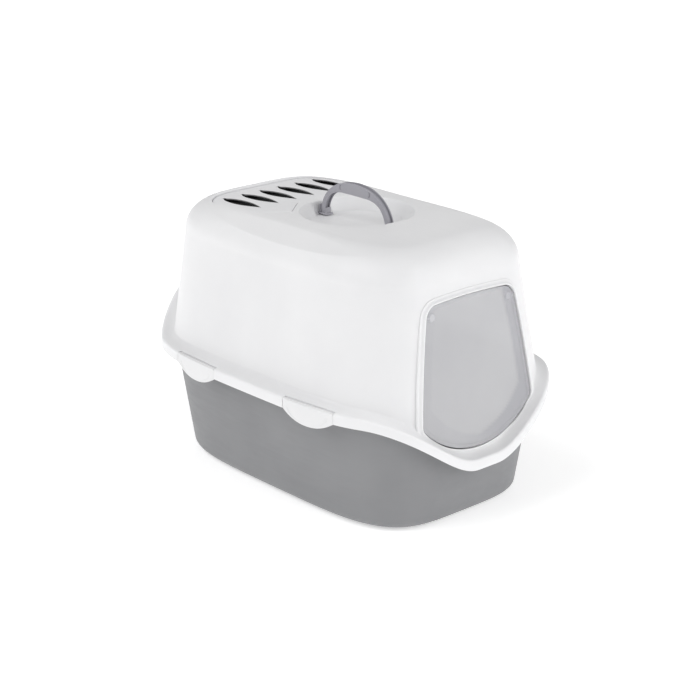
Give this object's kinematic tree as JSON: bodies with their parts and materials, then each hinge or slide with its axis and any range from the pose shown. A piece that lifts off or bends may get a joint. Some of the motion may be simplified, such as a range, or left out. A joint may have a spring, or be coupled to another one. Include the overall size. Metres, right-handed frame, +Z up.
{
  "type": "hooded cat litter box",
  "caption": "Hooded cat litter box: deep tray, domed hood with swinging see-through door, rim clips, folding top handle and slotted vent cover over a filter pad.",
  "frame": {"origin": "centre of the box at floor level, under the middle of its bounding box", "axes": "+Z up, the cat door faces -Y, the long sides face -X and +X"},
  "size_m": [0.398, 0.56, 0.4255],
  "materials": {
    "tray_plastic": "mid grey satin moulded polypropylene",
    "hood_plastic": "white satin moulded polypropylene",
    "clip_plastic": "white satin moulded polypropylene",
    "door_plastic": "smoky see-through plastic",
    "handle_plastic": "grey-violet satin plastic",
    "cover_plastic": "white satin moulded polypropylene",
    "filter_foam": "black carbon-filled fibre pad"
  },
  "bodies": {
    "tray": {"base_tray": "tray_plastic"},
    "hood": {"hood": "hood_plastic"},
    "door": {"door_flap": "door_plastic"},
    "handle": {"carry_handle": "handle_plastic"},
    "vent": {"vent_cover": "cover_plastic", "carbon_filter": "filter_foam"},
    "clip_left_front": {"clip_left_front": "clip_plastic"},
    "clip_left_rear": {"clip_left_rear": "clip_plastic"},
    "clip_right_front": {"clip_right_front": "clip_plastic"},
    "clip_right_rear": {"clip_right_rear": "clip_plastic"}
  },
  "joints": [
    {"name": "hood_lift", "type": "slide", "parent": "tray", "child": "hood", "axis": [0, 0, 1], "range_m": [0, 0.25]},
    {"name": "clip_left_front_swing", "type": "hinge", "parent": "hood", "child": "clip_left_front", "pos_m": [-0.19074, -0.1287, 0.1753], "axis": [-0.1015, 0.9948, 0], "range_deg": [0, 100]},
    {"name": "clip_left_rear_swing", "type": "hinge", "parent": "hood", "child": "clip_left_rear", "pos_m": [-0.19264, 0.1108, 0.1753], "axis": [0.068, 0.9977, 0], "range_deg": [0, 100]},
    {"name": "clip_right_front_swing", "type": "hinge", "parent": "hood", "child": "clip_right_front", "pos_m": [0.19074, -0.1287, 0.1753], "axis": [-0.1015, -0.9948, 0], "range_deg": [0, 100]},
    {"name": "clip_right_rear_swing", "type": "hinge", "parent": "hood", "child": "clip_right_rear", "pos_m": [0.19264, 0.1108, 0.1753], "axis": [0.068, -0.9977, 0], "range_deg": [0, 100]},
    {"name": "door_swing", "type": "hinge", "parent": "hood", "child": "door", "pos_m": [0, -0.23652, 0.29975], "axis": [1, 0, 0], "range_deg": [-70, 70]},
    {"name": "handle_fold", "type": "hinge", "parent": "hood", "child": "handle", "pos_m": [0, -0.014, 0.376], "axis": [0, 1, 0], "range_deg": [-86, 86]},
    {"name": "vent_cover_lift", "type": "slide", "parent": "hood", "child": "vent", "axis": [0, 0, 1], "range_m": [0, 0.06]}
  ]
}
